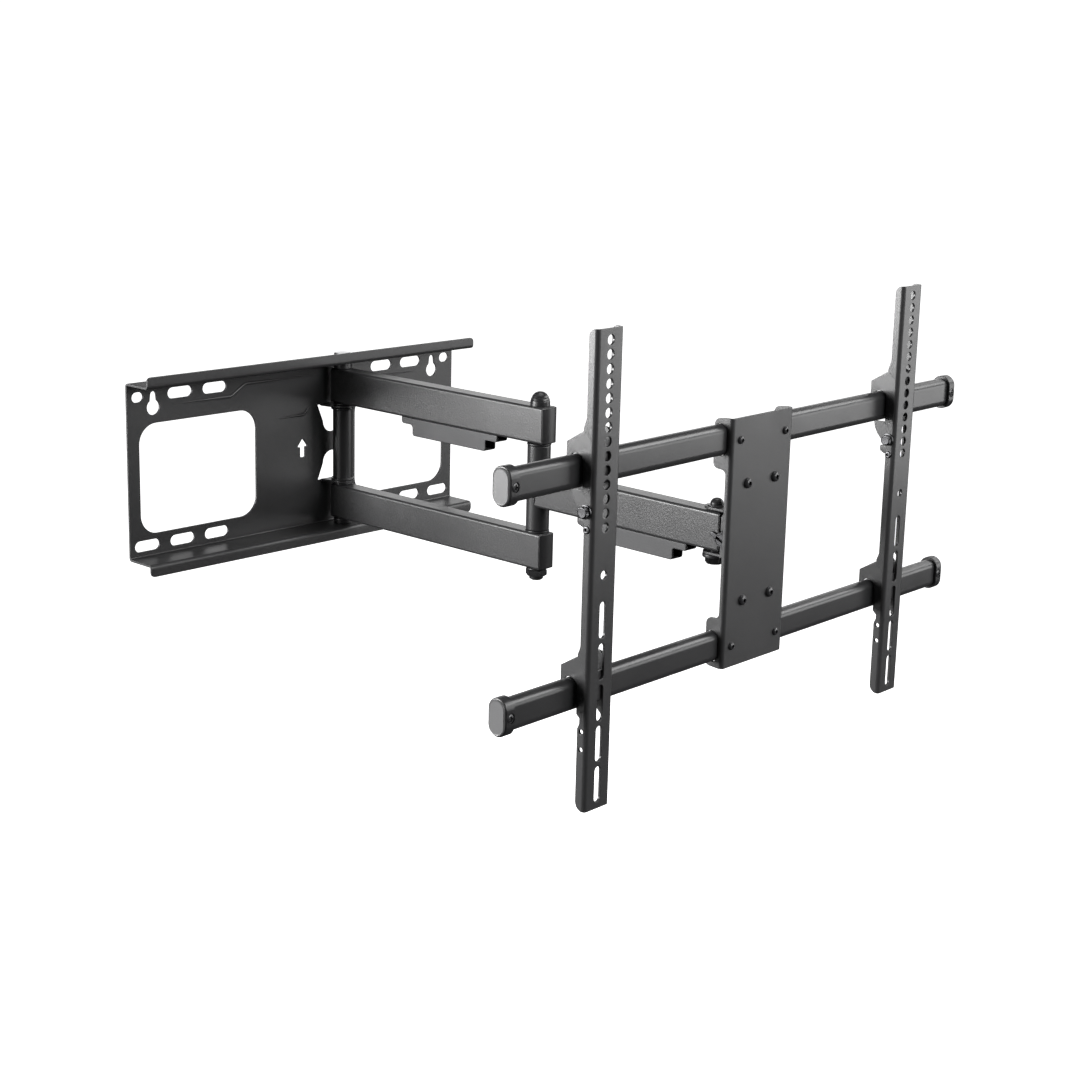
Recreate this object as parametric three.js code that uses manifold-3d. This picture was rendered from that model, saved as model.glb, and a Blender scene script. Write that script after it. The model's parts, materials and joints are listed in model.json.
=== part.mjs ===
// A full motion television wall mount, in millimetres, +Z up.
// X runs along the wall, +Y points into the wall, and Y = 0 is the back face of the wall plate.
// The origin is the middle of the wall plate's back face. The arms reach out along -Y.
import * as THREE from 'three';
import { mergeVertices } from 'three/addons/utils/BufferGeometryUtils.js';
import Module from 'manifold-3d';

const wasm = await Module();
wasm.setup();

// ---- Driving dimensions -------------------------------------------------------------------
const GAP = 0.3; // clearance kept between pieces that touch
const SHEET = 2.5; // thickness of the pressed steel

const PLATE = { width: 475, height: 193, depth: 39.6, lip: 10.5, lipCorner: 5 };
const WINDOW = { low: -70.2, high: 52.4, corner: 22, outer: 222.3, leftInner: 64.2, rightInner: 81.3 };
const WALL_SLOT = { length: 32.2, height: 12, row: 80, lowRow: -82.3 };
const KEYHOLE = { x: 203.5, head: 16.5, neck: 8, low: 59, high: 84.5 };

const WALL_PIVOT = { x: 45.8, y: -21.7 };
const TAB = { root: 39, mouth: 42.4, tip: 13, bend: 42.5, clear: 31.5 }; // ears pressed out of the plate
const POST_RADIUS = 11.4;

const ARM = { width: 22, height: 39, wall: 2, corner: 3 };
const ARM_LEVEL = 67.3; // height of the middle of each first arm, above and below the middle
const FIRST_LENGTH = 309; // wall pivot to elbow
const SECOND_LENGTH = 243; // elbow to head
const WALL_END = 9.2; // arm past the wall pivot
const ELBOW_END = 12.8; // first arms past the elbow
const HEAD_END = 11.8; // front arm past the head pivot

const COVER = { half: 8.3, wall: 1.5, top: 148, bottom: 113, step: 7.5, height: 19.6 };
const FIRST_COVER_AT = 181;
const SECOND_COVER_AT = 139;

const HEAD_TO_FACE = 50; // head pivot to the front of the centre plate
const TILT_BACK = 25; // tilt axis behind the front of the centre plate
const TILT_LEVEL = -2;

const CENTRE = { half: 49, top: 121, flange: 6.5, ear: 21, earTop: 119.5, earLow: 72.5 };
const RAIL = { height: 30, depth: 15, wall: 1.5, level: 100, back: 14, left: -351, right: 357.5 };
const CAP = { height: 35, depth: 21.3, length: 12.5, end: 3, screw: 7.5 };

const BRACKET = { half: 17.5, front: -9, flange: 1, top: 224, bottom: -205.5 };
const BRACKET_X = { left: -241, right: 238 };
const HOLE = { count: 14, pitch: 12.5, first: 214, diameter: 9 };
const FACE_SLOT = { count: 5, pitch: 37.8, first: -31.2, length: 33.3, width: 8 };

// The turns of the joints as drawn: the arms reach straight out and the screen faces the room.
const REST_TURN = { first: 0.24, second: -1.56, head: 3.28 };

// ---- Finishes -----------------------------------------------------------------------------
const finish = (color, roughness, metalness) => () =>
  new THREE.MeshStandardMaterial({ color, roughness, metalness });
const blackPaint = finish(0x2b2b2d, 0.55, 0.35);
const railPaint = finish(0x303033, 0.38, 0.45);
const blackPlastic = finish(0x1b1b1c, 0.5, 0);
const greyPlastic = finish(0x38393b, 0.6, 0);
const brightSteel = finish(0xb9bcc0, 0.28, 1);
const darkSteel = finish(0x3c3d40, 0.35, 0.9);

// ---- Solids -------------------------------------------------------------------------------
const AXES = {
  x: new THREE.Matrix4().makeBasis(
    new THREE.Vector3(0, 1, 0), new THREE.Vector3(0, 0, 1), new THREE.Vector3(1, 0, 0)),
  y: new THREE.Matrix4().makeBasis(
    new THREE.Vector3(1, 0, 0), new THREE.Vector3(0, 0, 1), new THREE.Vector3(0, -1, 0)),
  z: new THREE.Matrix4(),
};

function toSolid(geometry) {
  const bare = geometry.clone();
  bare.deleteAttribute('normal');
  bare.deleteAttribute('uv');
  const merged = mergeVertices(bare, 1e-4);
  return new wasm.Manifold(new wasm.Mesh({
    numProp: 3,
    vertProperties: new Float32Array(merged.attributes.position.array),
    triVerts: new Uint32Array(merged.index.array),
  }));
}

function toGeometry(solid) {
  const data = solid.getMesh();
  const geometry = new THREE.BufferGeometry();
  geometry.setAttribute('position', new THREE.BufferAttribute(data.vertProperties, 3));
  geometry.setIndex(new THREE.BufferAttribute(data.triVerts, 1));
  geometry.computeVertexNormals();
  return geometry;
}

// A flat outline pushed from one place to another along x, y or z. The outline is drawn in
// (y, z) for x, in (x, z) for y and in (x, y) for z.
function push(shape, axis, from, to, curveSegments = 2) {
  const geometry = new THREE.ExtrudeGeometry(shape, {
    depth: to - from, bevelEnabled: false, curveSegments });
  geometry.applyMatrix4(AXES[axis]);
  const start = axis === 'y' ? to : from;
  const shift = { x: [start, 0, 0], y: [0, start, 0], z: [0, 0, start] }[axis];
  geometry.translate(...shift);
  return toSolid(geometry);
}

function box(x0, x1, y0, y1, z0, z1) {
  const geometry = new THREE.BoxGeometry(x1 - x0, y1 - y0, z1 - z0);
  geometry.translate((x0 + x1) / 2, (y0 + y1) / 2, (z0 + z1) / 2);
  return toSolid(geometry);
}

// A round bar along an axis; a and b are the two other coordinates of its middle line.
function rod(axis, radius, from, to, a = 0, b = 0, sides = 16) {
  const geometry = new THREE.CylinderGeometry(radius, radius, to - from, sides);
  const middle = (from + to) / 2;
  if (axis === 'z') geometry.rotateX(Math.PI / 2);
  if (axis === 'x') geometry.rotateZ(Math.PI / 2);
  const place = { x: [middle, a, b], y: [a, middle, b], z: [a, b, middle] }[axis];
  geometry.translate(...place);
  return toSolid(geometry);
}

// A turned piece on the z axis, from [radius, height] pairs that start and end on the axis.
function turned(profile, sides = 16) {
  const geometry = new THREE.LatheGeometry(profile.map(([r, z]) => new THREE.Vector2(r, z)), sides);
  geometry.rotateX(Math.PI / 2);
  return toSolid(geometry);
}

function polygon(points) {
  const shape = new THREE.Shape();
  points.forEach(([a, b], i) => (i ? shape.lineTo(a, b) : shape.moveTo(a, b)));
  shape.closePath();
  return shape;
}

// A rectangle with round corners, from its middle, size and corner radius.
function rounded(ca, cb, width, height, radius) {
  const a = width / 2 - radius;
  const b = height / 2 - radius;
  const shape = new THREE.Shape();
  shape.moveTo(ca + a + radius, cb + b);
  shape.absarc(ca + a, cb + b, radius, 0, Math.PI / 2);
  shape.absarc(ca - a, cb + b, radius, Math.PI / 2, Math.PI);
  shape.absarc(ca - a, cb - b, radius, Math.PI, Math.PI * 1.5);
  shape.absarc(ca + a, cb - b, radius, Math.PI * 1.5, Math.PI * 2);
  shape.closePath();
  return shape;
}

const oval = (ca, cb, width, height) =>
  rounded(ca, cb, width, height, Math.min(width, height) / 2 - 0.01);

const joined = (first, ...rest) => rest.reduce((sum, solid) => sum.add(solid), first);
const without = (first, ...rest) => rest.reduce((left, solid) => left.subtract(solid), first);

function add(group, name, solid, material) {
  const mesh = new THREE.Mesh(toGeometry(solid), material());
  mesh.name = name;
  group.add(mesh);
  return mesh;
}

// ---- Wall plate ---------------------------------------------------------------------------
function tabOutline() {
  const { mouth, tip, bend, clear } = TAB;
  const centre = bend - (clear - tip);
  const shape = new THREE.Shape();
  shape.moveTo(WALL_PIVOT.x + mouth / 2, bend);
  shape.lineTo(WALL_PIVOT.x - mouth / 2, bend);
  shape.absarc(WALL_PIVOT.x, centre, tip, Math.PI * 0.95, Math.PI * 2.05);
  shape.closePath();
  return shape;
}

// The same ear after it is bent out level, with the hole for the pivot bolt.
function tabEar(low) {
  const { root, tip } = TAB;
  const shape = new THREE.Shape();
  shape.moveTo(WALL_PIVOT.x + root / 2, -SHEET / 2);
  shape.lineTo(WALL_PIVOT.x - root / 2, -SHEET / 2);
  shape.absarc(WALL_PIVOT.x, WALL_PIVOT.y, tip, Math.PI * 1.05, Math.PI * 1.95);
  shape.closePath();
  return push(shape, 'z', low, low + SHEET, 6);
}

function slotRow(z, columns) {
  const { length, height } = WALL_SLOT;
  return columns.map((x) => push(oval(x, z, length, height), 'y', -10, 5, 1));
}

function keyhole(x) {
  const { head, neck, low, high } = KEYHOLE;
  return joined(
    rod('y', head / 2, -10, 5, x, low + head / 2),
    push(oval(x, (low + high) / 2 + 4, neck, high - low - 8), 'y', -10, 5));
}

function wallPlate() {
  const { width, height, depth, lip, lipCorner } = PLATE;
  const h = height / 2;
  const front = -depth;
  const half = width / 2;
  const section = polygon([
    [0, h], [front + SHEET, h], [front + SHEET, h + lip], [front, h + lip], [front, h - SHEET],
    [-SHEET, h - SHEET], [-SHEET, -h + SHEET], [front, -h + SHEET], [front, -h - lip],
    [front + SHEET, -h - lip], [front + SHEET, -h], [0, -h]]);
  const outline = push(rounded(0, 0, width, height + 2 * lip, lipCorner), 'y', -60, 10, 1);
  const folded = push(section, 'x', -half, half).intersect(outline);
  const tall = WINDOW.high - WINDOW.low;
  const level = (WINDOW.high + WINDOW.low) / 2;
  const window = (inner, side) => push(
    rounded(side * (WINDOW.outer + inner) / 2, level, WINDOW.outer - inner, tall, WINDOW.corner),
    'y', -10, 5, 3);
  const mouth = push(tabOutline(), 'y', -10, 5, 6);
  const arrow = push(polygon([
    [-2, -14], [6, -14], [6, -2], [9.8, -2], [2, 8], [-5.8, -2], [-2, -2]]), 'y', -10, 5);
  const { row, lowRow } = WALL_SLOT;
  const inner = [-168.5, -122, 122, 168.5];
  return without(
    joined(folded, tabEar(TAB.bend), tabEar(-TAB.bend - SHEET)),
    window(WINDOW.leftInner, -1), window(WINDOW.rightInner, 1),
    mouth, mouth.mirror([0, 0, 1]), arrow,
    ...slotRow(row, inner), ...slotRow(lowRow, [-215, ...inner, 215]),
    ...[-1, 1].map((s) => push(oval(s * 223.7, row, 14.5, 11), 'y', -10, 5)),
    keyhole(-KEYHOLE.x), keyhole(KEYHOLE.x),
    rod('z', 6.5, -h - 5, h + 5, WALL_PIVOT.x, WALL_PIVOT.y));
}

// ---- Pivots -------------------------------------------------------------------------------
const hexagon = (radius, low, high) => rod('z', radius, low, high, 0, 0, 6);

function ring(outer, inner, low, high, sides = 16) {
  return without(rod('z', outer, low, high, 0, 0, sides), rod('z', inner, low - 1, high + 1, 0, 0, sides));
}

// The round post between the ears of the plate, with a collar at each end.
function spacer() {
  const end = TAB.bend - GAP;
  return joined(ring(POST_RADIUS, 6 + GAP, -end, end), ring(13.5, 6 + GAP, end - 2.2, end),
    ring(13.5, 6 + GAP, -end, -end + 2.2));
}

// The long bolt of the wall pivot: a hexagon head on top of the ledge, and a plain shank.
function wallBolt() {
  const top = PLATE.height / 2 + GAP;
  return joined(
    rod('z', 6, -top - 13, top + 1),
    rod('z', 11, top, top + 2),
    hexagon(9.5, top + 1.5, top + 8.2));
}

function wallNut() {
  const low = -PLATE.height / 2 - GAP;
  return without(joined(hexagon(9.5, low - 9.5, low - 2), ring(10.5, 6.3, low - 2.5, low, 20)),
    rod('z', 6 + GAP, low - 20, low + 5));
}

function elbowPin() {
  const top = ARM_LEVEL + ARM.height / 2;
  return joined(
    rod('z', 7, -top - 10, top + 5),
    turned([[0, top + GAP], [10.4, top + GAP], [10.4, top + 6], [9.6, top + 9.5], [7.2, top + 12.5],
      [3.8, top + 14.4], [0, top + 15]]));
}

function elbowNut() {
  const low = -ARM_LEVEL - ARM.height / 2 - GAP;
  const body = joined(hexagon(10.2, low - 8, low), rod('z', 7.5, low - 13, low - 7, 0, 0, 16));
  return without(joined(body, rod('z', 6, low - 15.5, low - 10)), rod('z', 7 + GAP, low - 10.5, low + 2));
}

// ---- Arms ---------------------------------------------------------------------------------
// A box tube along y with round edges, open at both ends.
function boxTube(from, to, level) {
  const { width, height, wall, corner } = ARM;
  return without(
    push(rounded(0, level, width, height, corner), 'y', from, to, 1),
    push(rounded(0, level, width - 2 * wall, height - 2 * wall, corner - wall), 'y', from - 5, to + 5, 1));
}

function firstArm(level) {
  const tube = boxTube(-FIRST_LENGTH - ELBOW_END, WALL_END, level);
  const holes = [[0, 6 + GAP], [-FIRST_LENGTH, 7 + GAP]].map(([y, radius]) =>
    rod('z', radius, level - 30, level + 30, 0, y));
  return without(tube, ...holes);
}

// The plug that closes the end of a tube: a stepped face over the end and a body inside.
function endPlug(level, end, depth) {
  const { width, height, wall, corner } = ARM;
  const inside = 2 * wall + 2 * GAP;
  return joined(
    push(rounded(0, level, width - 1, height - 1, corner), 'y', end - 1.4, end - GAP, 1),
    push(rounded(0, level, width - 5, height - 5, corner), 'y', end - 2.4, end - 1, 1),
    push(rounded(0, level, width - inside, height - inside, 1), 'y', end - 1, end + depth, 1));
}

function frontArm() {
  const tube = boxTube(-SECOND_LENGTH - HEAD_END, 0, 0);
  return without(tube,
    rod('z', POST_RADIUS + 0.9 + GAP, -40, 40, 0, 0, 32),
    box(-20, 20, 0, 20, -40, 40),
    rod('z', 5 + GAP, -40, 40, 0, -SECOND_LENGTH));
}

// A cable cover clipped under an arm: an open trough in two steps, open at both ends.
function cableCover(middle, top) {
  const { half, wall, top: long, bottom: short, step, height } = COVER;
  const part = (length, low, high) => box(-half, half, -middle - length / 2, -middle + length / 2, low, high);
  const hollow = (length, low, high) =>
    box(-half + wall, half - wall, -middle - length / 2, -middle + length / 2, low, high);
  const outside = joined(part(long, top - step, top), part(short, top - height, top - step + 0.1));
  return without(outside,
    hollow(long + 2, top - step + wall, top + 1),
    hollow(short - 2 * wall, top - height + wall, top));
}

// ---- Head ---------------------------------------------------------------------------------
function headClevis() {
  const low = ARM.height / 2 + 1.6;
  const jaw = (z) => joined(
    rod('z', 12, z, z + SHEET), box(-12, 12, -20.3, 0, z, z + SHEET));
  const ears = [-15, 12.5].map((x) => joined(
    box(x, x + SHEET, -26, -18, TILT_LEVEL - 13, TILT_LEVEL + 13),
    rod('x', 11, x, x + SHEET, -TILT_BACK, TILT_LEVEL)));
  return without(
    joined(jaw(low), jaw(-low - SHEET), box(-15, 15, -20.3, -17.8, -low - SHEET, low + SHEET), ...ears),
    rod('z', 5 + GAP, -40, 40),
    rod('x', 4 + GAP, -40, 40, -TILT_BACK, TILT_LEVEL));
}

function swivelBolt() {
  const top = ARM.height / 2 + 1.6 + SHEET + GAP;
  return joined(rod('z', 5, -top - 9, top + 1),
    turned([[0, top], [6.6, top], [6.6, top + 2.6], [5.6, top + 5], [3.4, top + 6.6], [0, top + 7.2]]));
}

function swivelNut() {
  const low = -ARM.height / 2 - 1.6 - SHEET - GAP;
  return without(joined(ring(12, 5.5, low - 3.6, low), hexagon(8.4, low - 10.2, low - 3)),
    rod('z', 5 + GAP, low - 20, low + 5));
}

function tiltBolt() {
  return joined(rod('x', 4, -24, 20, -TILT_BACK, TILT_LEVEL),
    rod('x', 7.5, 19.2, 25, -TILT_BACK, TILT_LEVEL, 6));
}

// The wing nut that sets how stiffly the screen tilts: a round hub with two straight wings.
function tiltWingNut() {
  const hub = rod('x', 6.2, -28, -19.2, -TILT_BACK, TILT_LEVEL);
  const wings = box(-27.4, -23.4, -13, 13, -2.4, 2.4);
  return without(joined(hub, wings.rotate([24, 0, 0]).translate([0, -TILT_BACK, TILT_LEVEL])),
    rod('x', 4 + GAP, -40, 0, -TILT_BACK, TILT_LEVEL));
}

// The bracket screwed behind the centre plate; its cheeks hang on the tilt bolt.
function tiltBracket() {
  const back = SHEET + GAP;
  const base = push(rounded(0, 0, 62, 134, 8), 'y', back, back + SHEET);
  const outline = polygon([
    [back + 1, -34], [24, -30], [29, -27], [31, -21], [31, 14], [29, 20], [24, 23], [back + 1, 27]]);
  const cheeks = [-18.6, 15.8].map((x) => push(outline, 'x', x, x + 2.8));
  return without(joined(base, ...cheeks),
    rod('x', 4 + GAP, -40, 40, TILT_BACK, TILT_LEVEL),
    ...LARGE_SCREWS.map(([x, z]) => rod('y', 3.2, -10, 20, x, z, 8)));
}

// ---- Screen frame -------------------------------------------------------------------------
const LARGE_SCREWS = [[-22, 57], [22, 57], [-22, -57], [22, -57]];
const SMALL_SCREWS = [[-36, 100], [36, 100], [-36, -100], [36, -100]];

function centrePlate() {
  const { half, top, flange, ear, earTop, earLow } = CENTRE;
  const face = push(rounded(0, 0, 2 * half, 2 * top, 1.5), 'y', 0, SHEET, 2);
  const side = polygon([
    [0, -top], [flange, -top], [ear - 4, -earTop], [ear, -earTop + 4], [ear, -earLow - 5],
    [ear - 5, -earLow], [flange + 6, -earLow], [flange, -earLow + 6],
    [flange, earLow - 6], [flange + 6, earLow], [ear - 5, earLow], [ear, earLow + 5],
    [ear, earTop - 4], [ear - 4, earTop], [flange, top], [0, top]]);
  const flanges = [-half, half - SHEET].map((x) => push(side, 'x', x, x + SHEET));
  const notch = (level) => {
    const reach = RAIL.back - RAIL.depth / 2 - GAP;
    const tall = RAIL.height + 2 * GAP;
    return joined(
      push(oval(RAIL.back, level, RAIL.depth + 2 * GAP, tall), 'x', -60, 60),
      box(-60, 60, RAIL.back, ear + 5, level - tall / 2, level + tall / 2),
      box(-60, 60, reach + 3, RAIL.back, level - tall / 4, level + tall / 4));
  };
  return without(joined(face, ...flanges), notch(RAIL.level), notch(-RAIL.level),
    ...[...LARGE_SCREWS, ...SMALL_SCREWS].map(([x, z]) => rod('y', 3.2, -10, 20, x, z, 8)));
}

// A button-head screw that stands on a face looking towards -y.
function buttonScrew(radius, rise, shank, length, x, z, face) {
  const head = turned([[0, -0.01], [radius, -0.01], [radius * 0.93, rise * 0.5], [radius * 0.6, rise * 0.9],
    [0, rise]], 10);
  const body = joined(head, rod('z', shank, -length, 0.5, 0, 0, 8));
  return body.rotate([90, 0, 0]).translate([x, face - GAP, z]);
}

function rail(level) {
  const { height, depth, wall, back, left, right } = RAIL;
  const from = left + CAP.end + GAP;
  const to = right - CAP.end - GAP;
  const holes = SMALL_SCREWS.filter(([, z]) => z * level > 0).map(([x, z]) =>
    rod('y', 3.2, 0, back, x, z, 8));
  const ends = [left + CAP.screw, right - CAP.screw].map((x) => rod('y', 2.6, 0, back, x, level, 8));
  return without(
    push(oval(back, level, depth, height), 'x', from, to),
    push(oval(back, level, depth - 2 * wall, height - 2 * wall), 'x', from - 5, to + 5),
    ...holes, ...ends);
}

function railCap(level, end, side) {
  const inner = end - side * CAP.length;
  const [from, to] = [Math.min(end, inner), Math.max(end, inner)];
  const socket = side > 0 ? [from - 1, to - CAP.end] : [from + CAP.end, to + 1];
  const room = 2 * GAP;
  return without(
    push(oval(RAIL.back, level, CAP.depth, CAP.height), 'x', from, to),
    push(oval(RAIL.back, level, RAIL.depth + room, RAIL.height + room), 'x', ...socket),
    rod('y', 2.6, -5, RAIL.back, end - side * CAP.screw, level, 8));
}

// ---- Screen brackets ----------------------------------------------------------------------
function screenBracket() {
  const { half, front, flange, top, bottom } = BRACKET;
  const middle = (top + bottom) / 2;
  const face = push(rounded(0, middle, 2 * half, top - bottom, 4), 'y', front, front + SHEET);
  const side = polygon([
    [front, bottom + 4], [flange + 1, bottom + 12], [flange + 1, -128], [flange - 1.5, -122],
    [flange - 1.5, -114], [front + SHEET - 0.5, -112], [front + SHEET - 0.5, -76],
    [flange + 3, -63.5], [flange, -54], [flange, 86], [front + SHEET - 0.5, 88],
    [front + SHEET - 0.5, 126], [-4.5, 128.9], [-1, 133], [flange + 3, 136.5], [flange, 150],
    [flange, top - 9],
    [front + 4, top - 1], [front, top - 3]]);
  const rightSide = polygon([
    [front, bottom + 3], [flange, bottom + 5], [flange, -126], [front + SHEET - 0.5, -124],
    [front + SHEET - 0.5, -63], [flange + 1, -61], [flange + 1, 56], [front + SHEET - 0.5, 58],
    [front + SHEET - 0.5, 118], [flange + 2, 121], [flange + 2, top - 9], [front + 4, top - 1],
    [front, top - 3]]);
  const leftFlange = push(side, 'x', -half, -half + SHEET);
  const rightFlange = push(rightSide, 'x', half - SHEET, half);
  const holes = Array.from({ length: HOLE.count }, (_, i) =>
    rod('y', HOLE.diameter / 2, front - 5, front + 8, 0, HOLE.first - i * HOLE.pitch, 10));
  const slots = Array.from({ length: FACE_SLOT.count }, (_, i) =>
    push(oval(0, FACE_SLOT.first - i * FACE_SLOT.pitch, FACE_SLOT.width, FACE_SLOT.length), 'y',
      front - 5, front + 8, 1));
  return without(joined(face, leftFlange, rightFlange), ...holes, ...slots,
    rod('y', 4, front - 5, front + 8, 0, 9.3, 12),
    rod('x', 2.2, -half - 5, -half + 5, -2.6, -131, 10),
    rod('x', 2.2, -half - 5, -half + 5, -2.6, -147.7, 10),
    rod('x', 2.4, -half - 5, -half + 5, -2.4, 51, 10),
    rod('x', 3 + GAP, -half - 5, -half + 5, -1.5, 66.8, 10));
}

// The hook that drops over a rail: a plate inside each flange of the bracket, down to its foot, and
// a web between them behind the bracket's face.
function hookPlate(level, foot, webLow, webHigh) {
  const front = BRACKET.front + SHEET + GAP;
  const inside = -BRACKET.half + SHEET + GAP;
  const near = RAIL.back - RAIL.depth / 2 - 0.6;
  const far = RAIL.back + RAIL.depth / 2 + 0.4;
  const outline = polygon([
    [front, level - foot], [0.4, level - foot], [0.4, level - 22], [near, level - 17], [near, level + 4],
    [near, level + 14], [far, level + 14], [far, level - 4], [far + 1, level - 6],
    [25, level - 5], [25, level + 24.3], [5, level + 36.5], [1, level + 35.5], [front, level + 25]]);
  const plate = joined(
    push(outline, 'x', inside, inside + SHEET),
    push(outline, 'x', -inside - SHEET, -inside),
    box(inside + 1, -inside - 1, front, front + 2, level + webLow, level + webHigh));
  const saddle = push(oval(RAIL.back, level, RAIL.depth + 0.8, RAIL.height + 0.8), 'x', -60, 60);
  return without(plate, saddle,
    rod('x', 2.4, -30, 30, -2.4, level - 49, 10),
    rod('x', 3 + GAP, -30, 30, -1.5, level - 33.2, 10));
}

// The plate under the upper rail that stops the bracket from lifting off.
function lockPlate(level) {
  const from = -BRACKET.half + 2 * SHEET + 3 * GAP;
  const outline = polygon([
    [-5.5, level - 42], [4, level - 42], [11, level - 35], [16, level - 29.5], [19.5, level - 23],
    [20.5, level - 16.5], [-5.5, level - 16.5]]);
  return without(push(outline, 'x', from, from + 2), rod('x', 3 + GAP, -30, 30, -1.5, level - 33.2, 10));
}

// The thumb screw of the lock: a ribbed round head outside the flange, and its shank.
function lockScrew(level) {
  const x = -BRACKET.half - GAP;
  const y = -1.5;
  const z = level - 33.2;
  return joined(
    rod('x', 5.4, x - 6, x, y, z, 14),
    rod('x', 6.2, x - 2, x, y, z, 14),
    rod('x', 3, x - 1, x + 14, y, z, 10));
}

function pullTab(level) {
  const from = -BRACKET.half + 2 * SHEET + 3 * GAP;
  return push(polygon([
    [0, level - 49], [8, level - 47.5], [11.5, level - 44], [11.5, level - 41.2], [2.4, level - 42.3],
    [-2, level - 42.3]]), 'x', from - GAP, from + 4);
}

function rivet(level) {
  const x = -BRACKET.half;
  return joined(
    rod('x', 3.6, x - 1.6, x - GAP, -2.4, level - 49, 10),
    rod('x', 2.1, x - 1, x + 2 * SHEET + GAP, -2.4, level - 49, 10));
}

// ---- Assembly -----------------------------------------------------------------------------
const mount = new THREE.Group();
const turn = (degrees) => THREE.MathUtils.degToRad(degrees);
const top = ARM_LEVEL + ARM.height / 2;
const inner = ARM_LEVEL - ARM.height / 2;

add(mount, 'wall_plate', wallPlate(), blackPaint);

const wallPivot = new THREE.Group();
wallPivot.position.set(WALL_PIVOT.x, WALL_PIVOT.y, 0);
mount.add(wallPivot);
add(wallPivot, 'wall_pivot_bolt', wallBolt(), brightSteel);
add(wallPivot, 'wall_pivot_nut', wallNut(), brightSteel);
add(wallPivot, 'wall_pivot_spacer', spacer(), darkSteel);
for (const [name, low, high] of [
  ['upper_ledge_collar', top + GAP, PLATE.height / 2 - SHEET - GAP],
  ['lower_ledge_collar', -PLATE.height / 2 + SHEET + GAP, -top - GAP]]) {
  add(wallPivot, name, ring(10.5, 6 + GAP, low, high), blackPlastic);
}
for (const [name, low, high] of [
  ['upper_tab_washer', TAB.bend + SHEET + GAP, inner - GAP],
  ['lower_tab_washer', -inner + GAP, -TAB.bend - SHEET - GAP]]) {
  add(wallPivot, name, ring(11, 6 + GAP, low, high), blackPlastic);
}

const firstArms = new THREE.Group();
firstArms.rotation.z = turn(REST_TURN.first);
wallPivot.add(firstArms);
add(firstArms, 'upper_arm', firstArm(ARM_LEVEL), blackPaint);
add(firstArms, 'lower_arm', firstArm(-ARM_LEVEL), blackPaint);
const firstEnd = -FIRST_LENGTH - ELBOW_END;
add(firstArms, 'upper_arm_plug', endPlug(ARM_LEVEL, firstEnd, 4), blackPlastic);
add(firstArms, 'lower_arm_plug', endPlug(-ARM_LEVEL, firstEnd, 4), blackPlastic);
add(firstArms, 'upper_cable_cover', cableCover(FIRST_COVER_AT, inner - GAP), greyPlastic);

const elbow = new THREE.Group();
elbow.position.y = -FIRST_LENGTH;
firstArms.add(elbow);
add(elbow, 'elbow_pin', elbowPin(), darkSteel);
add(elbow, 'elbow_nut', elbowNut(), brightSteel);

const secondArm = new THREE.Group();
secondArm.rotation.z = turn(REST_TURN.second);
elbow.add(secondArm);
const bush = 2.4;
add(secondArm, 'elbow_sleeve', ring(POST_RADIUS + 0.9, 7 + GAP, -inner + bush + GAP, inner - bush - GAP, 32),
  blackPaint);
add(secondArm, 'elbow_upper_bush', ring(12.8, 7 + GAP, inner - bush, inner - GAP), blackPlastic);
add(secondArm, 'elbow_lower_bush', ring(12.8, 7 + GAP, -inner + GAP, -inner + bush), blackPlastic);
add(secondArm, 'front_arm', frontArm(), blackPaint);
add(secondArm, 'front_arm_plug', endPlug(0, -SECOND_LENGTH - HEAD_END, 4), blackPlastic);
add(secondArm, 'front_cable_cover', cableCover(SECOND_COVER_AT, -ARM.height / 2 - GAP), greyPlastic);

const head = new THREE.Group();
head.position.y = -SECOND_LENGTH;
head.rotation.z = turn(REST_TURN.head);
secondArm.add(head);
add(head, 'head_clevis', headClevis(), darkSteel);
add(head, 'swivel_bolt', swivelBolt(), darkSteel);
add(head, 'swivel_nut', swivelNut(), brightSteel);
add(head, 'tilt_bolt', tiltBolt(), brightSteel);
add(head, 'tilt_wing_nut', tiltWingNut(), brightSteel);

const frame = new THREE.Group();
frame.position.y = -HEAD_TO_FACE;
head.add(frame);
add(frame, 'tilt_bracket', tiltBracket(), blackPaint);
add(frame, 'centre_plate', centrePlate(), blackPaint);
LARGE_SCREWS.forEach(([x, z], i) =>
  add(frame, `bracket_screw_${i + 1}`, buttonScrew(5.2, 4, 2.8, 6, x, z, 0), darkSteel));
SMALL_SCREWS.forEach(([x, z], i) =>
  add(frame, `rail_screw_${i + 1}`, buttonScrew(3.9, 3, 2.8, 9, x, z, 0), darkSteel));
for (const [place, level] of [['upper', RAIL.level], ['lower', -RAIL.level]]) {
  add(frame, `${place}_rail`, rail(level), railPaint);
  for (const [hand, end, side] of [['left', RAIL.left, -1], ['right', RAIL.right, 1]]) {
    add(frame, `${place}_${hand}_cap`, railCap(level, end, side), blackPlastic);
    const face = RAIL.back - CAP.depth / 2;
    add(frame, `${place}_${hand}_cap_screw`,
      buttonScrew(3.9, 1.6, 2.2, 6, end - side * CAP.screw, level, face), darkSteel);
  }
}

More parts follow.
